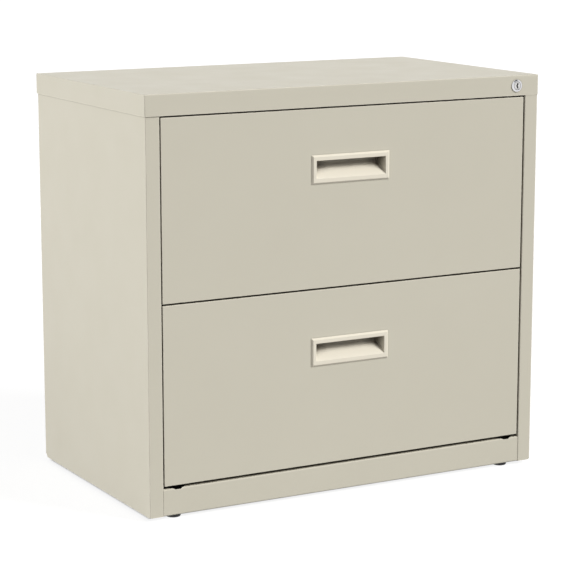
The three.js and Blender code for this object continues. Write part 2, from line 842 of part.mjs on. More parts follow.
const shell = new THREE.Group();
addPiece(shell, 'top_panel', topPanel(), puttyEnamel);
addPiece(shell, 'left_side_panel', sidePanel(-1), puttyEnamel);
addPiece(shell, 'right_side_panel', sidePanel(1), puttyEnamel);
addPiece(shell, 'back_panel', backPanel(), puttyEnamel);
addPiece(shell, 'front_base_rail', frontBaseRail(), puttyEnamel);
addPiece(shell, 'rear_base_rail', rearBaseRail(), puttyEnamel);
addPiece(shell, 'counterweight', counterweight(), castIron);
const rearUprightY = backY - rearUprightSetback - uprightWidth;
addPiece(shell, 'left_front_upright', upright(-1, uprightY), zincPlate);
addPiece(shell, 'right_front_upright', upright(1, uprightY), zincPlate);
addPiece(shell, 'left_rear_upright', upright(-1, rearUprightY), zincPlate);
addPiece(shell, 'right_rear_upright', upright(1, rearUprightY), zincPlate);
cabinet.add(shell);

const feet = new THREE.Group();
addPiece(feet, 'left_front_glide', glide(), blackNylon).position.set(-glideX, frontGlideY, 0);
addPiece(feet, 'right_front_glide', glide(), blackNylon).position.set(glideX, frontGlideY, 0);
addPiece(feet, 'left_rear_glide', glide(), blackNylon).position.set(-glideX, rearGlideY, 0);
addPiece(feet, 'right_rear_glide', glide(), blackNylon).position.set(glideX, rearGlideY, 0);
cabinet.add(feet);

cabinet.add(drawer('upper', upperBottom, upperPullLevel));
cabinet.add(drawer('lower', lowerBottom, lowerPullLevel));

const lock = new THREE.Group();
lock.position.set(lockX, 0, lockZ);
addPiece(lock, 'lock_housing', lockHousing(), chromePlate);
addPiece(lock, 'lock_plug', lockPlug(), chromePlate);
addPiece(lock, 'lock_cam', lockCam(), zincPlate);
addPiece(lock, 'lock_nut', lockNut(), zincPlate);
cabinet.add(lock);

const bar = new THREE.Group();
addPiece(bar, 'lock_bar', lockBar(), zincPlate);
addPiece(bar, 'upper_lock_bar_guide', barGuide(upperBottom + upperGuideLevel), zincPlate);
addPiece(bar, 'lower_lock_bar_guide', barGuide(upperBottom + lowerGuideLevel), zincPlate);
cabinet.add(bar);

export default cabinet;
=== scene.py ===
import json
import math

import bmesh
import bpy
from mathutils import Matrix, Vector


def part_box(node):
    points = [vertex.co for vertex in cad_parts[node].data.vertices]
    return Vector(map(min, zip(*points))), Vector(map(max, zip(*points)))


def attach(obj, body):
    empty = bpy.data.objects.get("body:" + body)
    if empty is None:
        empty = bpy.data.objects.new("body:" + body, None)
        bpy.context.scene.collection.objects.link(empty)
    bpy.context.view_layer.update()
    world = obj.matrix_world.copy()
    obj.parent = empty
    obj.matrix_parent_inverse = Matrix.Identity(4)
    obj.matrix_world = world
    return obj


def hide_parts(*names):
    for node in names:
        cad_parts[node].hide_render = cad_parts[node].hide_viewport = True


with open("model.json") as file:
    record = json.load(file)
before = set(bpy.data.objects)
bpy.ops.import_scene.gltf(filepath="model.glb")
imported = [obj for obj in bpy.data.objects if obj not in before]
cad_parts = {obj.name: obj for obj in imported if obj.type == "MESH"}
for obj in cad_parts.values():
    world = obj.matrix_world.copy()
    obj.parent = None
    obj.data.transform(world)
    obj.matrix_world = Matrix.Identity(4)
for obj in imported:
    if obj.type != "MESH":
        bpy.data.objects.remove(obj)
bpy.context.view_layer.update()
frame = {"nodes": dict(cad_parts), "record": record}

# Looks of a two-drawer lateral filing cabinet, in metres, in the frame of its solids

scene = bpy.context.scene
record = frame["record"]
body_of = {node: body for body, members in record["behaviour"]["bodies"].items() for node in members}
slot_of = {row["node"]: row["material_slot"] for row in record["subparts"]}
drawers = ("upper", "lower")
hands = ("left", "right")
ends = ("front", "rear")

# Unit, directions, and the turn that faces a flat shape to the front
MM = 0.001
TO_FRONT = Vector((0, -1, 0))
TO_BACK = Vector((0, 1, 0))
UP = Vector((0, 0, 1))
DOWN = Vector((0, 0, -1))
FACE_FRONT = Matrix.Rotation(math.radians(90), 4, "X")

# Sheet metal: walls, outside radii of the folds, flanges and cut corners
cap_sheet = 1.2 * MM
cap_round = 1.6 * MM
case_sheet = 1.0 * MM
case_fold = 1.1 * MM
stile_return = 16 * MM
rear_flange = 20 * MM
foot_flange = 20 * MM
rail_clear = 1 * MM
heel_cut = 8 * MM
foot_clip = 2.5 * MM
front_sheet = 1.0 * MM
front_round = 1.1 * MM
rail_fold = 6 * MM
fold_segments = 5

# Small shifts from the solids, which give the gaps their widths in the photograph
front_drift = 0.7 * MM
skirt_short = 0.7 * MM
rail_drop = 1.5 * MM
rail_stretch = 0.25 * MM

# Moulded pulls
pull_set_back = 1.7 * MM
pull_proud = 2.8 * MM
pull_bevel = 4.2 * MM
pull_opening_width = 134.6 * MM
pull_opening_height = 30 * MM
pull_sill = 9.8 * MM
pull_depth = 21.3 * MM
pull_rise = 20.5 * MM
pull_finger_rise = 6 * MM
pull_lip = 4 * MM
pull_draft = 5 * MM
pull_wall = 1.6 * MM
pull_cove = 5 * MM
pull_cove_segments = 6
pull_edge = 0.7 * MM
pull_edge_segments = 3
window_clear = 0.3 * MM

# Lock: the rounding of its ring is in millimetres from the bore and from the edge, across and back
lock_bore = 6.95 * MM
ring_lip = ((0, 1.1), (0.5, 0.25), (0.9, 0))
ring_dome = ((2.4, 0.15), (1.5, 0.5), (0.7, 1.05), (0.2, 1.7))
lock_segments = 64
hole_margin = 1 * MM
hole_segments = 32
plug_radius = 6.7 * MM
plug_rim = 1.2 * MM
plug_sink = 0.25 * MM
keyway_depth = 6 * MM
keyway_reach = 4.6 * MM
keyway_step = 1.6 * MM
keyway_lap = 0.3 * MM
ward_right = 0.7 * MM
ward_left = 0.6 * MM
ward_half = 1.5 * MM
barrel_radius = 9.2 * MM
tang_width = 7 * MM
tang_root = 1 * MM

# Levelling glides: the rounding of the foot is in millimetres from its edge, across and along
foot_height = 6.85 * MM
foot_sole = ((2.2, 0), (1.0, 0.4), (0.2, 1.4), (0, 2.4))
foot_shoulder = ((0, 1.6), (0.5, 0.5), (1.5, 0))
stem_radius = 4 * MM
thread_pitch = 1.25 * MM
thread_depth = 0.6 * MM
glide_segments = 48

# Edges that a deburring tool or a mould leaves, on the pieces that keep the solids' shape
eased_edge = 0.25 * MM
eased_segments = 2
eased_angle = math.radians(50)

# Limits for finding sharp edges, flat faces, faces that look one way, and points that lie together
sharp_angle = math.radians(38)
flat_angle = math.radians(0.5)
same_way = 0.999
touching = 1 * MM
merge_distance = 0.005 * MM

# Camera, found by fitting the corners of the case to the photograph
camera_place = Vector((-1.795, -3.237, 1.030))
camera_yaw = math.radians(29.05)
camera_pitch = math.radians(-10.84)
camera_lens = 131.4
camera_sensor = 36

# Studio light: a key from the upper right in front, a low side light from the left behind
sky_strength = 0.36
key_strength = 3.27
key_softness = math.radians(22)
key_from = Vector((0.56, -0.63, 0.52))
side_strength = 2.86
side_softness = math.radians(12)
side_from = Vector((-0.87, 0.45, 0.07))

# Floor: its brightness, and the painted shadow under the cabinet, where its glow is left out, in from the
# case's sides, front and back
floor_half = 20
floor_glow = 0.87
unlit_side = 15 * MM
unlit_front = 28.85 * MM
unlit_back = 9.85 * MM
unlit_edge = 8 * MM

# Dark card above and in front of the lock
card_distance = 2.0
card_half = 0.8
card_from = Vector((0.225, -0.63, 0.749))


# Linear colour from an sRGB hex value
def linear(hex_colour):
    channels = [int(hex_colour[i:i + 2], 16) / 255 for i in (1, 3, 5)]
    return [c / 12.92 if c <= 0.04045 else ((c + 0.055) / 1.055) ** 2.4 for c in channels] + [1.0]


# Cycles of a pattern in a metre, from its size in millimetres
def per(millimetres):
    return 1000 / millimetres


# A shader node with its settings; an input is either another node's socket or a plain value.
# Sockets of the Mix node share their names, so they go by number: factor 0, colours 6 and 7, result 2.
def add(tree, kind, inputs=None, **settings):
    made = tree.nodes.new("ShaderNode" + kind)
    for name, value in settings.items():
        setattr(made, name, value)
    for socket, value in (inputs or {}).items():
        if isinstance(value, bpy.types.NodeSocket):
            tree.links.new(value, made.inputs[socket])
        else:
            made.inputs[socket].default_value = value
    return made


def start_material(name):
    material = bpy.data.materials.new(name)
    material.use_nodes = True
    tree = material.node_tree
    tree.nodes.clear()
    return material, tree


# Ends a material with its surface, whose inputs are plain values or the sockets of its patterns
def give_surface(tree, inputs):
    shader = add(tree, "BsdfPrincipled", inputs)
    add(tree, "OutputMaterial", {"Surface": shader.outputs["BSDF"]})


# 1 on edges and folds, 0 on flat faces, broken up so that it is uneven: a painted highlight on the enamel,
# wear on the other finishes
def patchy_edge_mask(tree, place, width, patch):
    rounded = add(tree, "Bevel", {"Radius": width}, samples=4).outputs["Normal"]
    flat = add(tree, "NewGeometry").outputs["Normal"]
    facing = add(tree, "VectorMath", {0: rounded, 1: flat}, operation="DOT_PRODUCT").outputs["Value"]
    edge = add(tree, "MapRange", {"Value": facing, "From Min": 0.995, "From Max": 0.86}).outputs["Result"]
    spots = add(tree, "TexNoise", {"Vector": place, "Scale": per(patch), "Detail": 4.0}).outputs["Fac"]
    uneven = add(tree, "MapRange", {"Value": spots, "From Min": 0.3, "From Max": 0.6, "To Min": 0.35})
    return add(tree, "Math", {0: edge, 1: uneven.outputs["Result"]}, operation="MULTIPLY").outputs["Value"]


# 0 deep in a joint or recess, 1 in the open; the mask for painted shade
def openness(tree, reach, deep, clear):
    reached = add(tree, "AmbientOcclusion", {"Distance": reach}, samples=6).outputs["AO"]
    return add(tree, "MapRange", {"Value": reached, "From Min": deep, "From Max": clear}).outputs["Result"]


# Roughness that follows a noise pattern, most of which lies between 0.3 and 0.7
def uneven_roughness(tree, pattern, smooth, rough):
    limits = {"From Min": 0.3, "From Max": 0.7, "To Min": smooth, "To Max": rough}
    return add(tree, "MapRange", {"Value": pattern, **limits}).outputs["Result"]


# Enamel sprayed on sheet steel and baked: an even satin putty colour with a faint orange peel,
# a little lighter over a fold, partly where the coat draws thin and partly as a painted highlight,
# with a faint painted shade line where one sheet laps another, and painted shade deep in the joints.
# Orange peel is about 1.5 mm wide, drawn at 4 mm so that it shows at this size.
def baked_enamel():
    material, tree = start_material("baked_enamel_on_sheet_steel")
    place = add(tree, "TexCoord").outputs["Object"]
    drift = add(tree, "TexNoise", {"Vector": place, "Scale": per(240), "Detail": 3.0}).outputs["Fac"]
    putty = {6: linear("#CBC6B6"), 7: linear("#C8C3B3")}
    coat = add(tree, "Mix", {0: drift, **putty}, data_type="RGBA").outputs[2]
    # Painted highlight on edges and folds, partly standing for the coat drawing thin there
    edge_mask = patchy_edge_mask(tree, place, 2.2 * MM, 35)
    thin_coat_and_painted_highlight = add(tree, "Mix", {0: edge_mask, 6: coat, 7: linear("#E6E0D1")}, data_type="RGBA").outputs[2]
    # Painted shade: a faint dark line where one sheet laps another, as under the top's skirt
    lap_shade_mask = openness(tree, 3 * MM, 0.5, 0.95)
    lap_shaded = add(tree, "Mix", {0: lap_shade_mask, 6: linear("#8F8877"), 7: thin_coat_and_painted_highlight}, data_type="RGBA").outputs[2]
    # Painted shade deep in the joints and gaps: the colour goes dark brown and the gloss dims
    clear = openness(tree, 12 * MM, 0.08, 0.42)
    coat_with_painted_light = add(tree, "Mix", {0: clear, 6: linear("#33260F"), 7: lap_shaded}, data_type="RGBA").outputs[2]
    shine = add(tree, "Math", {0: clear, 1: 0.5}, operation="MULTIPLY").outputs["Value"]
    handled = add(tree, "TexNoise", {"Vector": place, "Scale": per(60), "Detail": 4.0}).outputs["Fac"]
    peel = add(tree, "TexNoise", {"Vector": place, "Scale": per(4), "Detail": 1.0}).outputs["Fac"]
    relief = add(tree, "Bump", {"Height": peel, "Distance": 0.06 * MM, "Strength": 0.25}).outputs["Normal"]
    give_surface(tree, {
        "Base Color": coat_with_painted_light,
        "Roughness": uneven_roughness(tree, handled, 0.42, 0.52),
        "Specular IOR Level": shine,
        "IOR": 1.5,
        "Normal": relief,
    })
    return material


# Cream ABS moulded in a spark-eroded tool: soft satin with a fine even grain, paler on its edges,
# and with painted shade deep in the finger room, where the colour goes dark brown and the gloss dims.
# The grain is about 0.1 mm wide, drawn at 0.8 mm so that it shows.
def moulded_abs():
    material, tree = start_material("cream_abs_spark_eroded_mould")
    place = add(tree, "TexCoord").outputs["Object"]
    flow = add(tree, "TexNoise", {"Vector": place, "Scale": per(45), "Detail": 2.0}).outputs["Fac"]
    cream = {6: linear("#E6DFCE"), 7: linear("#E2DBCA")}
    plastic = add(tree, "Mix", {0: flow, **cream}, data_type="RGBA").outputs[2]
    edge_mask = patchy_edge_mask(tree, place, 0.8 * MM, 60)
    rubbed = add(tree, "Mix", {0: edge_mask, 6: plastic, 7: linear("#E7E0D0")}, data_type="RGBA").outputs[2]
    # Painted shade deep in the finger room under the lip
    clear = openness(tree, 30 * MM, 0.41, 0.56)
    painted_shade_in_recess = add(tree, "Mix", {0: clear, 6: linear("#3A2A12"), 7: rubbed}, data_type="RGBA").outputs[2]
    shine = add(tree, "Math", {0: clear, 1: 0.5}, operation="MULTIPLY").outputs["Value"]
    grain = add(tree, "TexNoise", {"Vector": place, "Scale": per(0.8), "Detail": 2.0}).outputs["Fac"]
    relief = add(tree, "Bump", {"Height": grain, "Distance": 0.02 * MM, "Strength": 0.3}).outputs["Normal"]
    give_surface(tree, {
        "Base Color": painted_shade_in_recess,
        "Roughness": uneven_roughness(tree, flow, 0.36, 0.44),
        "Specular IOR Level": shine,
        "IOR": 1.53,
        "Normal": relief,
    })
    return material


# Die-cast lock parts, polished and chrome plated: mirror bright, with a faint haze and fine polishing marks
def polished_chrome():
    material, tree = start_material("polished_chrome_plate")
    place = add(tree, "TexCoord").outputs["Object"]
    haze = add(tree, "TexNoise", {"Vector": place, "Scale": per(5), "Detail": 4.0}).outputs["Fac"]
    chrome = {6: linear("#E4E4E6"), 7: linear("#D6D6DA")}
    marks = add(tree, "TexNoise", {"Vector": place, "Scale": per(0.6), "Detail": 2.0}).outputs["Fac"]
    relief = add(tree, "Bump", {"Height": marks, "Distance": 0.01 * MM, "Strength": 0.15}).outputs["Normal"]
    give_surface(tree, {
        "Base Color": add(tree, "Mix", {0: haze, **chrome}, data_type="RGBA").outputs[2],
        "Metallic": 1.0,
        "Roughness": uneven_roughness(tree, haze, 0.08, 0.17),
        "Normal": relief,
    })
    return material


# Die-cast plug with a dull nickel plate: greyer than the ring round it
def dull_nickel():
    material, tree = start_material("dull_nickel_plate")
    place = add(tree, "TexCoord").outputs["Object"]
    haze = add(tree, "TexNoise", {"Vector": place, "Scale": per(3), "Detail": 4.0}).outputs["Fac"]
    nickel = {6: linear("#DCDBDA"), 7: linear("#C8C7C6")}
    marks = add(tree, "TexNoise", {"Vector": place, "Scale": per(0.8), "Detail": 2.0}).outputs["Fac"]
    relief = add(tree, "Bump", {"Height": marks, "Distance": 0.01 * MM, "Strength": 0.2}).outputs["Normal"]
    give_surface(tree, {
        "Base Color": add(tree, "Mix", {0: haze, **nickel}, data_type="RGBA").outputs[2],
        "Metallic": 1.0,
        "Roughness": uneven_roughness(tree, haze, 0.18, 0.28),
        "Normal": relief,
    })
    return material


# Inside of the keyway: raw metal made near black, partly by oil and graphite and partly as painted shade
def oiled_and_shaded_keyway():
    material, tree = start_material("oil_graphite_and_painted_shade_in_keyway")
    place = add(tree, "TexCoord").outputs["Object"]
    film = add(tree, "TexNoise", {"Vector": place, "Scale": per(1), "Detail": 3.0}).outputs["Fac"]
    grime = {6: linear("#0C0B0A"), 7: linear("#1C1A18")}
    relief = add(tree, "Bump", {"Height": film, "Distance": 0.02 * MM, "Strength": 0.2}).outputs["Normal"]
    give_surface(tree, {
        "Base Color": add(tree, "Mix", {0: film, **grime}, data_type="RGBA").outputs[2],
        "Metallic": 0.3,
        "Roughness": uneven_roughness(tree, film, 0.5, 0.7),
        "Normal": relief,
    })
    return material


# Cold-rolled strip, zinc plated and clear passivated: pale grey metal with cloudy patches
# and rolling lines from front to back, brighter on its edges where it rubs
def zinc_plate():
    material, tree = start_material("zinc_plated_rolled_strip")
    place = add(tree, "TexCoord").outputs["Object"]
    cloud = add(tree, "TexNoise", {"Vector": place, "Scale": per(28), "Detail": 5.0}).outputs["Fac"]
    zinc = {6: linear("#C6C8C6"), 7: linear("#ADB1B3")}
    plate = add(tree, "Mix", {0: cloud, **zinc}, data_type="RGBA").outputs[2]
    edge_mask = patchy_edge_mask(tree, place, 0.8 * MM, 18)
    rubbed = add(tree, "Mix", {0: edge_mask, 6: plate, 7: linear("#DADAD6")}, data_type="RGBA").outputs[2]
    along = add(tree, "Mapping", {"Vector": place, "Scale": (1.0, 0.03, 0.4)}).outputs["Vector"]
    lines = add(tree, "TexNoise", {"Vector": along, "Scale": per(1.5), "Detail": 3.0}).outputs["Fac"]
    relief = add(tree, "Bump", {"Height": lines, "Distance": 0.02 * MM, "Strength": 0.25}).outputs["Normal"]
    give_surface(tree, {
        "Base Color": rubbed,
        "Metallic": 1.0,
        "Roughness": uneven_roughness(tree, cloud, 0.3, 0.46),
        "Normal": relief,
    })
    return material


# Iron cast in sand: dark and grainy, with patches of brown bloom
def cast_iron():
    material, tree = start_material("sand_cast_iron")
    place = add(tree, "TexCoord").outputs["Object"]
    bloom = add(tree, "TexNoise", {"Vector": place, "Scale": per(30), "Detail": 6.0}).outputs["Fac"]
    rust = add(tree, "MapRange", {"Value": bloom, "From Min": 0.55, "From Max": 0.75}).outputs["Result"]
    iron = {6: linear("#4A4846"), 7: linear("#5E4636")}
    sand = add(tree, "TexVoronoi", {"Vector": place, "Scale": per(2)}).outputs["Distance"]
    relief = add(tree, "Bump", {"Height": sand, "Distance": 0.25 * MM, "Strength": 0.6}).outputs["Normal"]
    give_surface(tree, {
        "Base Color": add(tree, "Mix", {0: rust, **iron}, data_type="RGBA").outputs[2],
        "Metallic": 0.7,
        "Roughness": uneven_roughness(tree, bloom, 0.65, 0.85),
        "Normal": relief,
    })
    return material


# Black nylon moulded round a steel stem: dull, with a fine grain and grey scuffs along its edges
def moulded_nylon():
    material, tree = start_material("black_moulded_nylon")
    place = add(tree, "TexCoord").outputs["Object"]
    scuff = patchy_edge_mask(tree, place, 0.8 * MM, 4)
    black = {6: linear("#0D0C0C"), 7: linear("#2E2C2B")}
    grain = add(tree, "TexNoise", {"Vector": place, "Scale": per(0.9), "Detail": 2.0}).outputs["Fac"]
    relief = add(tree, "Bump", {"Height": grain, "Distance": 0.03 * MM, "Strength": 0.3}).outputs["Normal"]
    give_surface(tree, {
        "Base Color": add(tree, "Mix", {0: scuff, **black}, data_type="RGBA").outputs[2],
        "Roughness": uneven_roughness(tree, grain, 0.45, 0.6),
        "IOR": 1.53,
        "Normal": relief,
    })
    return material


finishes = {
    "enamel": baked_enamel(),
    "pull": moulded_abs(),
    "lock": polished_chrome(),
    "zinc": zinc_plate(),
    "counterweight": cast_iron(),
    "glide": moulded_nylon(),
}


def middle_of(node):
    low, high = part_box(node)
    return (low + high) / 2


# The things in their order, each of them once
def unique(things):
    return list(dict.fromkeys(things))


# An object in the scene from a finished bmesh
def scene_object(name, bm, materials):
    mesh = bpy.data.meshes.new(name)
    bm.to_mesh(mesh)
    bm.free()
    for material in materials:
        mesh.materials.append(material)
    made = bpy.data.objects.new(name, mesh)
    scene.collection.objects.link(made)
    return made


# Turns a finished bmesh into a piece that stands for a node, rides on its body and takes its finish
def stand_for(node, bm, materials=None):
    bm.normal_update()
    for face in bm.faces:
        face.smooth = True
    for edge in bm.edges:
        edge.smooth = edge.is_manifold and edge.calc_face_angle(0) < sharp_angle
    piece = scene_object(node + "_piece", bm, materials or [finishes[slot_of[node]]])
    weighted = piece.modifiers.new("flat faces stay flat", "WEIGHTED_NORMAL")
    weighted.keep_sharp = True
    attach(piece, body_of[node])
    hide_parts(node)


def box_shape(low, high):
    bm = bmesh.new()
    bmesh.ops.create_cube(bm, size=1)
    bmesh.ops.scale(bm, vec=high - low, verts=bm.verts)
    bmesh.ops.translate(bm, vec=(low + high) / 2, verts=bm.verts)
    bm.normal_update()
    return bm


# Adds another shape to this one, as a weld does
def join_shape(bm, other):
    mesh = bpy.data.meshes.new("joined")
    other.to_mesh(mesh)
    other.free()
    bm.from_mesh(mesh)
    bpy.data.meshes.remove(mesh)


def edges_sharper_than(bm, angle):
    return [edge for edge in bm.edges if edge.is_manifold and edge.calc_face_angle(0) > angle]


def round_edges(bm, edges, radius, segments):
    bmesh.ops.bevel(bm, geom=edges, offset=radius, offset_type="OFFSET", affect="EDGES",
                    segments=segments, profile=0.5, material=-1, clamp_overlap=True)
    bm.normal_update()


# Moves the points that an extrusion has made, and gives them back
def draw_out(bm, extruded, along):
    verts = [item for item in extruded["geom"] if isinstance(item, bmesh.types.BMVert)]
    bmesh.ops.translate(bm, vec=along, verts=verts)
    return verts


def faces_towards(bm, direction):
    return [face for face in bm.faces if face.normal.dot(direction) > same_way]


# A sheet folded into a pan, open on one side
def folded_pan(low, high, open_side, radius):
    bm = box_shape(low, high)
    bmesh.ops.delete(bm, geom=faces_towards(bm, open_side), context="FACES")
    folds = [edge for edge in bm.edges if edge.is_manifold]
    round_edges(bm, folds, radius, fold_segments)
    return bm


# Slices the faces that look to the front along the sides of a rectangle
def slice_front(bm, low, high):
    planes = ((low, (1, 0, 0)), (high, (1, 0, 0)), (low, (0, 0, 1)), (high, (0, 0, 1)))
    for point, normal in planes:
        faces = faces_towards(bm, TO_FRONT)
        edges = unique(edge for face in faces for edge in face.edges)
        verts = unique(vert for face in faces for vert in face.verts)
        bmesh.ops.bisect_plane(bm, geom=faces + edges + verts, plane_co=point, plane_no=normal)
        bm.normal_update()


def front_faces_within(bm, low, high):
    inside = []
    for face in faces_towards(bm, TO_FRONT):
        middle = face.calc_center_median()
        if low.x < middle.x < high.x and low.z < middle.z < high.z:
            inside.append(face)
    return inside


# Cuts a rectangle out of the flat front of a sheet, and gives back the edges round it
def cut_front_window(bm, low, high):
    slice_front(bm, low, high)
    bmesh.ops.delete(bm, geom=front_faces_within(bm, low, high), context="FACES_ONLY")
    rim = []
    for edge in bm.edges:
        middle = (edge.verts[0].co + edge.verts[1].co) / 2
        beside = low.x - touching < middle.x < high.x + touching
        level = low.z - touching < middle.z < high.z + touching
        if edge.is_boundary and beside and level and abs(middle.y - low.y) < touching:
            rim.append(edge)
    return rim


# Top panel: a pan over the case, with a round hole in its front skirt for the lock. Its skirts end a little
# higher than the solid's, so that the gap under them is as wide as in the photograph.
def top_panel():
    low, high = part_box("top_panel")
    bm = folded_pan(low + UP * skirt_short, high, DOWN, cap_round)
    middle = middle_of("lock_housing")
    middle.y = low.y
    reach = Vector((1, 0, 1)) * (barrel_radius + hole_margin)
    rim = cut_front_window(bm, middle - reach, middle + reach)
    place = Matrix.Translation(middle) @ FACE_FRONT
    hole_radius = barrel_radius + window_clear
    hole = bmesh.ops.create_circle(bm, segments=hole_segments, radius=hole_radius, matrix=place)
    hole_edges = unique(edge for vert in hole["verts"] for edge in vert.link_edges)
    bmesh.ops.bridge_loops(bm, edges=rim + hole_edges)
    bmesh.ops.recalc_face_normals(bm, faces=bm.faces)
    bmesh.ops.solidify(bm, geom=bm.faces[:], thickness=cap_sheet)
    stand_for("top_panel", bm)


# Flange inside the foot of a side panel, between the base rails
def lower_flange(wall, side, bottom):
    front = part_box("front_base_rail")[1].y + rail_clear
    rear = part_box("rear_base_rail")[0].y - rail_clear
    left, right = sorted((wall, wall - side * foot_flange))
    return box_shape(Vector((left, front, bottom)), Vector((right, rear, bottom + case_sheet)))


# Side panel: stile and its return in front, flanges behind and at the foot, and the foot corners cut off
def side_panel(hand):
    node = f"{hand}_side_panel"
    low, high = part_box(node)
    side = 1 if hand == "right" else -1
    outer = high.x if side > 0 else low.x
    inner = low.x if side > 0 else high.x
    path = [
        (inner, low.y + stile_return),
        (inner, low.y),
        (outer, low.y),
        (outer, high.y),
        (outer - side * rear_flange, high.y),
    ]
    bm = bmesh.new()
    verts = [bm.verts.new((x, y, low.z)) for x, y in path]
    edges = [bm.edges.new(pair) for pair in zip(verts, verts[1:])]
    draw_out(bm, bmesh.ops.extrude_edge_only(bm, edges=edges), UP * (high.z - low.z))
    bm.normal_update()
    if not faces_towards(bm, TO_FRONT):
        bmesh.ops.reverse_faces(bm, faces=bm.faces)
        bm.normal_update()
    folds = [edge for edge in bm.edges if edge.is_manifold]
    round_edges(bm, folds, case_fold, fold_segments)
    heel = ((0, high.y - heel_cut, low.z), (0, 1, -1))
    toe = ((outer - side * foot_clip, low.y, low.z), (side, -1, -1))
    for point, normal in (heel, toe):
        whole = bm.verts[:] + bm.edges[:] + bm.faces[:]
        bmesh.ops.bisect_plane(bm, geom=whole, clear_outer=True, plane_co=point, plane_no=normal)
    bmesh.ops.solidify(bm, geom=bm.faces[:], thickness=case_sheet)
    join_shape(bm, lower_flange(outer - side * case_sheet, side, low.z))
    stand_for(node, bm)


# Drawer front: a pan with a window for the pull, hung a little to the left as in the photograph
def drawer_front(drawer):
    node = f"{drawer}_drawer_front"
    low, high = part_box(node)
    drift = Vector((-front_drift, 0, 0))
    bm = folded_pan(low + drift, high + drift, TO_BACK, front_round)
    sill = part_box(f"{drawer}_drawer_pull")[0].z + pull_sill
    margin = pull_wall + window_clear
    half = pull_opening_width / 2 + margin
    top = sill + pull_opening_height + pull_finger_rise + margin
    cut_front_window(bm, Vector((-half, low.y, sill - margin)), Vector((half, low.y, top)))
    loose = [edge for edge in bm.edges if not edge.link_faces]
    bmesh.ops.delete(bm, geom=loose, context="EDGES")
    bmesh.ops.solidify(bm, geom=bm.faces[:], thickness=front_sheet)
    stand_for(node, bm)


# Frame of a pull, bevelled up from the drawer front, with one face left over its mouth
def pull_frame(low, high, frame_y):
    bm = bmesh.new()
    size = Matrix.Diagonal((high.x - low.x, high.z - low.z, 1, 1))
    place = Matrix.Translation((0, frame_y, (low.z + high.z) / 2)) @ FACE_FRONT @ size
    bmesh.ops.create_grid(bm, x_segments=1, y_segments=1, size=0.5, matrix=place)
    bm.normal_update()
    (mouth,) = bm.faces
    bmesh.ops.inset_region(bm, faces=[mouth], thickness=pull_bevel, depth=pull_proud, use_boundary=True)
    bm.normal_update()
    bmesh.ops.inset_region(bm, faces=[mouth], thickness=pull_bevel, depth=0)
    bm.normal_update()
    return bm, mouth


# Draws a face back to four new corners, with walls that lead to it
def push_on(bm, face, half_width, bottom, top, y_bottom, y_top):
    made = bmesh.ops.extrude_discrete_faces(bm, faces=[face])["faces"][0]
    middle = made.calc_center_median().z
    for vert in made.verts:
        below = vert.co.z < middle
        vert.co.x = math.copysign(half_width, vert.co.x)
        vert.co.y = y_bottom if below else y_top
        vert.co.z = bottom if below else top
    bm.normal_update()
    return made


# Recessed pull: a bevelled frame, a ramp that rises in a cove to the back, finger room behind the upper lip
def pull(drawer):
    node = f"{drawer}_drawer_pull"
    low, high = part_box(node)
    face_y = low.y + pull_set_back
    lip_y = face_y + pull_lip
    behind_y = lip_y + pull_wall
    back_y = face_y + pull_depth
    sill = low.z + pull_sill
    lintel = sill + pull_opening_height
    finger_top = lintel + pull_finger_rise
    half = pull_opening_width / 2
    slope = pull_rise / pull_depth
    draft = pull_draft / pull_depth
    bm, mouth = pull_frame(low, high, face_y + pull_proud)
    for vert in mouth.verts:
        vert.co.x = math.copysign(half, vert.co.x)
        vert.co.z = sill if vert.co.z < (sill + lintel) / 2 else lintel
    lip = push_on(bm, mouth, half - draft * pull_lip, sill + slope * pull_lip, lintel, lip_y, lip_y)
    behind_half = half - draft * (behind_y - face_y)
    behind_ramp = sill + slope * (behind_y - face_y)
    behind = push_on(bm, lip, behind_half, behind_ramp, finger_top, behind_y, lip_y)
    back = push_on(bm, behind, half - pull_draft, sill + pull_rise, finger_top, back_y, back_y)
    lowest = min(vert.co.z for vert in back.verts)
    cove = [edge for edge in back.edges if all(vert.co.z < lowest + touching for vert in edge.verts)]
    round_edges(bm, cove, pull_cove, pull_cove_segments)
    round_edges(bm, edges_sharper_than(bm, sharp_angle), pull_edge, pull_edge_segments)
    bmesh.ops.solidify(bm, geom=bm.faces[:], thickness=pull_wall)
    stand_for(node, bm)


# Points of a rounded corner in a section, from their distances to the sharp corner in millimetres
def rounding(corner, across_way, along_way, steps):
    across, along = corner
    return [(across + across_way * out * MM, along + along_way * on * MM) for out, on in steps]


# Spins a section, in radii and places along an axis through a point, into a round shape
def turned(section, point, axis, segments, closed):
    bm = bmesh.new()
    verts = [bm.verts.new(point + Vector((radius, 0, 0)) + axis * along) for radius, along in section]
    pairs = list(zip(verts, verts[1:]))
    if closed:
        pairs.append((verts[-1], verts[0]))
    edges = [bm.edges.new(pair) for pair in pairs]
    bmesh.ops.spin(bm, geom=verts + edges, cent=point, axis=axis, angle=math.tau,
                   steps=segments, use_merge=True)
    bmesh.ops.remove_doubles(bm, verts=bm.verts, dist=merge_distance)
    bmesh.ops.recalc_face_normals(bm, faces=bm.faces)
    return bm


# Lock housing: a domed ring over the skirt, with a barrel behind it that holds the plug
def lock_housing():
    low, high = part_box("lock_housing")
    outer = (high.x - low.x) / 2
    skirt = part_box("top_panel")[0].y - window_clear
    section = [
        (lock_bore, high.y),
        *rounding((lock_bore, low.y), 1, 1, ring_lip),
        *rounding((outer, low.y), -1, 1, ring_dome),
        (outer, skirt),
        (barrel_radius, skirt),
        (barrel_radius, high.y),
    ]
    axle = middle_of("lock_housing")
    axle.y = 0
    stand_for("lock_housing", turned(section, axle, TO_BACK, lock_segments, closed=True))


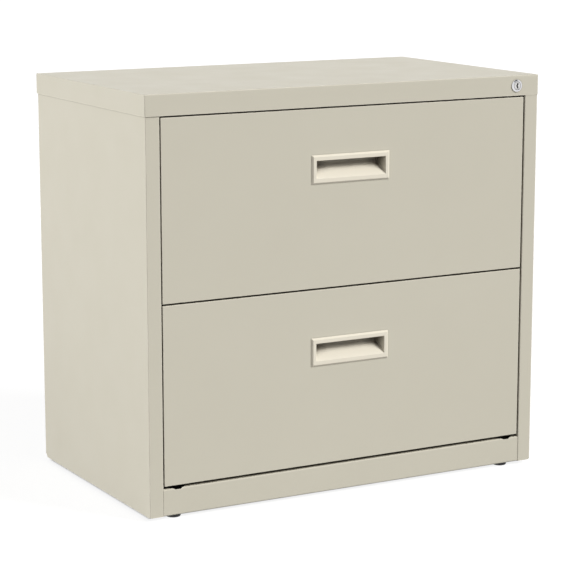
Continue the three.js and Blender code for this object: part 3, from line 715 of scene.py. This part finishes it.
# Barrel of the plug: a flat rim on its face, and a disc that is sunk a little behind the rim
def plug_barrel(face_middle, length):
    bm = bmesh.new()
    place = Matrix.Translation(face_middle) @ FACE_FRONT
    bmesh.ops.create_circle(bm, cap_ends=True, segments=lock_segments, radius=plug_radius, matrix=place)
    bm.normal_update()
    bmesh.ops.inset_region(bm, faces=bm.faces[:], thickness=plug_rim, depth=0, use_boundary=True)
    bm.normal_update()
    disc = max(bm.faces, key=lambda face: face.calc_area())
    bmesh.ops.inset_region(bm, faces=[disc], thickness=plug_sink, depth=-plug_sink)
    rim = [edge for edge in bm.edges if edge.is_boundary]
    draw_out(bm, bmesh.ops.extrude_edge_only(bm, edges=rim), TO_BACK * length)
    bmesh.ops.holes_fill(bm, edges=[edge for edge in bm.edges if edge.is_boundary], sides=0)
    bm.normal_update()
    return bm


# Sinks a keyway of three steps into the plug's face, and gives it the second material
def sink_keyway(bm, middle):
    wards = (
        (ward_right, keyway_step - keyway_lap, keyway_reach),
        (-ward_left, -keyway_step, keyway_step),
        (ward_right, -keyway_reach, keyway_lap - keyway_step),
    )
    steps = []
    for shift, bottom, top in wards:
        low = middle + Vector((shift - ward_half, 0, bottom))
        high = middle + Vector((shift + ward_half, 0, top))
        slice_front(bm, low, high)
        steps.append((low, high))
    keyway = unique(face for low, high in steps for face in front_faces_within(bm, low, high))
    sunk = draw_out(bm, bmesh.ops.extrude_face_region(bm, geom=keyway), TO_BACK * keyway_depth)
    for face in unique(face for vert in sunk for face in vert.link_faces):
        face.material_index = 1
    bmesh.ops.delete(bm, geom=keyway, context="FACES")


# Plug: a barrel with a rim round its face, a stepped keyway inside the rim and a square tang behind
def lock_plug():
    low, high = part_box("lock_plug")
    middle = middle_of("lock_housing")
    middle.y = low.y
    tip = Vector((middle.x, high.y, middle.z))
    barrel_length = high.y - low.y - tang_width / 2
    bm = plug_barrel(middle, barrel_length)
    sink_keyway(bm, middle)
    half = Vector((1, 0, 1)) * (tang_width / 2)
    root = middle + TO_BACK * (barrel_length - tang_root)
    join_shape(bm, box_shape(root - half, tip + half))
    stand_for("lock_plug", bm, [dull_nickel(), oiled_and_shaded_keyway()])


# Levelling glide: a moulded foot with rounded edges on a threaded stem. The thread is drawn as rings.
def glide(hand, end):
    node = f"{hand}_{end}_glide"
    low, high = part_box(node)
    foot = (high.x - low.x) / 2
    groove = stem_radius - thread_depth
    section = [
        (0, 0),
        *rounding((foot, 0), -1, 1, foot_sole),
        *rounding((foot, foot_height), -1, -1, foot_shoulder),
        (stem_radius, foot_height),
    ]
    rings = int((high.z - foot_height) / thread_pitch) - 1
    for i in range(rings):
        crest = foot_height + (i + 0.5) * thread_pitch
        section += [(stem_radius, crest), (groove, crest + thread_pitch / 2)]
    section += [(groove, high.z), (0, high.z)]
    axle = middle_of(node)
    axle.z = 0
    stand_for(node, turned(section, axle, UP, glide_segments, closed=False))


def solid_copy(node):
    bm = bmesh.new()
    bm.from_mesh(frame["nodes"][node].data)
    bmesh.ops.remove_doubles(bm, verts=bm.verts, dist=merge_distance)
    bmesh.ops.dissolve_limit(bm, angle_limit=flat_angle, verts=bm.verts, edges=bm.edges)
    bm.normal_update()
    return bm


# A node whose own shape is right: its solid with every sharp edge eased
def eased(node, bm):
    round_edges(bm, edges_sharper_than(bm, eased_angle), eased_edge, eased_segments)
    stand_for(node, bm)


# Front base rail: its top fold stands a little lower and its ends meet the stiles, as in the photograph
def front_base_rail():
    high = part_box("front_base_rail")[1]
    bm = solid_copy("front_base_rail")
    fold = [vert for vert in bm.verts if vert.co.z > high.z - rail_fold]
    bmesh.ops.translate(bm, vec=DOWN * rail_drop, verts=fold)
    tips = [vert for vert in bm.verts if abs(vert.co.x) > high.x - touching]
    bmesh.ops.scale(bm, vec=((high.x + rail_stretch) / high.x, 1, 1), verts=tips)
    eased("front_base_rail", bm)


# 1 for a ray that shows the surroundings: seen by the camera, in a reflection or through glass
def seen_rays(tree):
    path = add(tree, "LightPath").outputs
    direct = {0: path["Is Camera Ray"], 1: path["Is Glossy Ray"]}
    seen = add(tree, "Math", direct, operation="MAXIMUM").outputs["Value"]
    return add(tree, "Math", {0: seen, 1: path["Is Transmission Ray"]}, operation="MAXIMUM").outputs["Value"]


# 0 on the floor well under the cabinet, where no light reaches and the glow is left out as a painted shadow,
# and 1 beyond it
def beyond_cabinet(tree, place):
    low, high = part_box("top_panel")
    near = Vector((low.x + unlit_side, low.y + unlit_front, 0))
    far = Vector((high.x - unlit_side, high.y - unlit_back, 0))
    middle = (near + far) / 2
    half = (far - near) / 2
    shifted = add(tree, "VectorMath", {0: place, 1: middle}, operation="SUBTRACT").outputs["Vector"]
    outward = add(tree, "VectorMath", {0: shifted}, operation="ABSOLUTE").outputs["Vector"]
    beyond = add(tree, "VectorMath", {0: outward, 1: half}, operation="SUBTRACT").outputs["Vector"]
    sides = add(tree, "SeparateXYZ", {0: beyond}).outputs
    nearest = add(tree, "Math", {0: sides["X"], 1: sides["Y"]}, operation="MAXIMUM").outputs["Value"]
    return add(tree, "MapRange", {"Value": nearest, "From Max": unlit_edge}).outputs["Result"]


# A flat square of the studio
def studio_sheet(name, half, place, material):
    bm = bmesh.new()
    bmesh.ops.create_grid(bm, x_segments=1, y_segments=1, size=half, matrix=place)
    return scene_object(name, bm, [material])


# Floor: white to the eye but for the cabinet's shadow, and grey as a surface that throws light back
def pale_floor():
    material, tree = start_material("white_matt_floor")
    place = add(tree, "TexCoord").outputs["Object"]
    white = {0: seen_rays(tree), 1: beyond_cabinet(tree, place)}
    lit = add(tree, "Math", white, operation="MULTIPLY").outputs["Value"]
    glow = add(tree, "Math", {0: lit, 1: floor_glow}, operation="MULTIPLY").outputs["Value"]
    give_surface(tree, {
        "Base Color": linear("#858585"),
        "Roughness": 0.9,
        "Specular IOR Level": 0.0,
        "Emission Color": linear("#FFFFFF"),
        "Emission Strength": glow,
    })
    floor = studio_sheet("floor", floor_half, Matrix(), material)


# Sky: white to the camera and in reflections, dimmer as light on matt surfaces
def studio_sky():
    world = bpy.data.worlds.new("studio")
    scene.world = world
    world.use_nodes = True
    tree = world.node_tree
    tree.nodes.clear()
    level = add(tree, "MapRange", {"Value": seen_rays(tree), "To Min": sky_strength, "To Max": 1.0})
    sky = add(tree, "Background", {"Color": linear("#FFFFFF"), "Strength": level.outputs["Result"]})
    add(tree, "OutputWorld", {"Surface": sky.outputs["Background"]})


# A wide lamp with no glint of its own: the sky and the floor are what shines in the satin coat
def soft_light(name, strength, softness, source):
    lamp = bpy.data.lights.new(name, "SUN")
    lamp.energy = strength
    lamp.angle = softness
    light = bpy.data.objects.new(name, lamp)
    light.rotation_euler = source.to_track_quat("Z", "Y").to_euler()
    light.visible_glossy = False
    scene.collection.objects.link(light)


# A dark card that only reflections show, so that the lock's ring reads as polished metal
def dark_card():
    material, tree = start_material("black_felt_card")
    give_surface(tree, {"Base Color": linear("#080808"), "Roughness": 1.0})
    source = card_from.normalized()
    turn = source.to_track_quat("Z", "Y").to_matrix().to_4x4()
    place = Matrix.Translation(middle_of("lock_housing") + source * card_distance) @ turn
    card = studio_sheet("card", card_half, place, material)
    card.visible_camera = False
    card.visible_diffuse = False
    card.visible_transmission = False
    card.visible_shadow = False


def photograph_camera():
    lens = bpy.data.cameras.new("camera")
    lens.lens = camera_lens
    lens.sensor_width = camera_sensor
    camera = bpy.data.objects.new("camera", lens)
    camera.location = camera_place
    camera.rotation_euler = (math.radians(90) + camera_pitch, 0, -camera_yaw)
    scene.collection.objects.link(camera)
    scene.camera = camera


# The cabinet: the pieces drawn anew, then every other node
top_panel()
front_base_rail()
for hand in hands:
    side_panel(hand)
    for end in ends:
        glide(hand, end)
for drawer in drawers:
    drawer_front(drawer)
    pull(drawer)
lock_housing()
lock_plug()
for node, cad in frame["nodes"].items():
    if not cad.hide_render:
        eased(node, solid_copy(node))

# The studio
pale_floor()
studio_sky()
soft_light("key", key_strength, key_softness, key_from)
soft_light("side", side_strength, side_softness, side_from)
dark_card()
photograph_camera()
scene.view_settings.view_transform = "Standard"
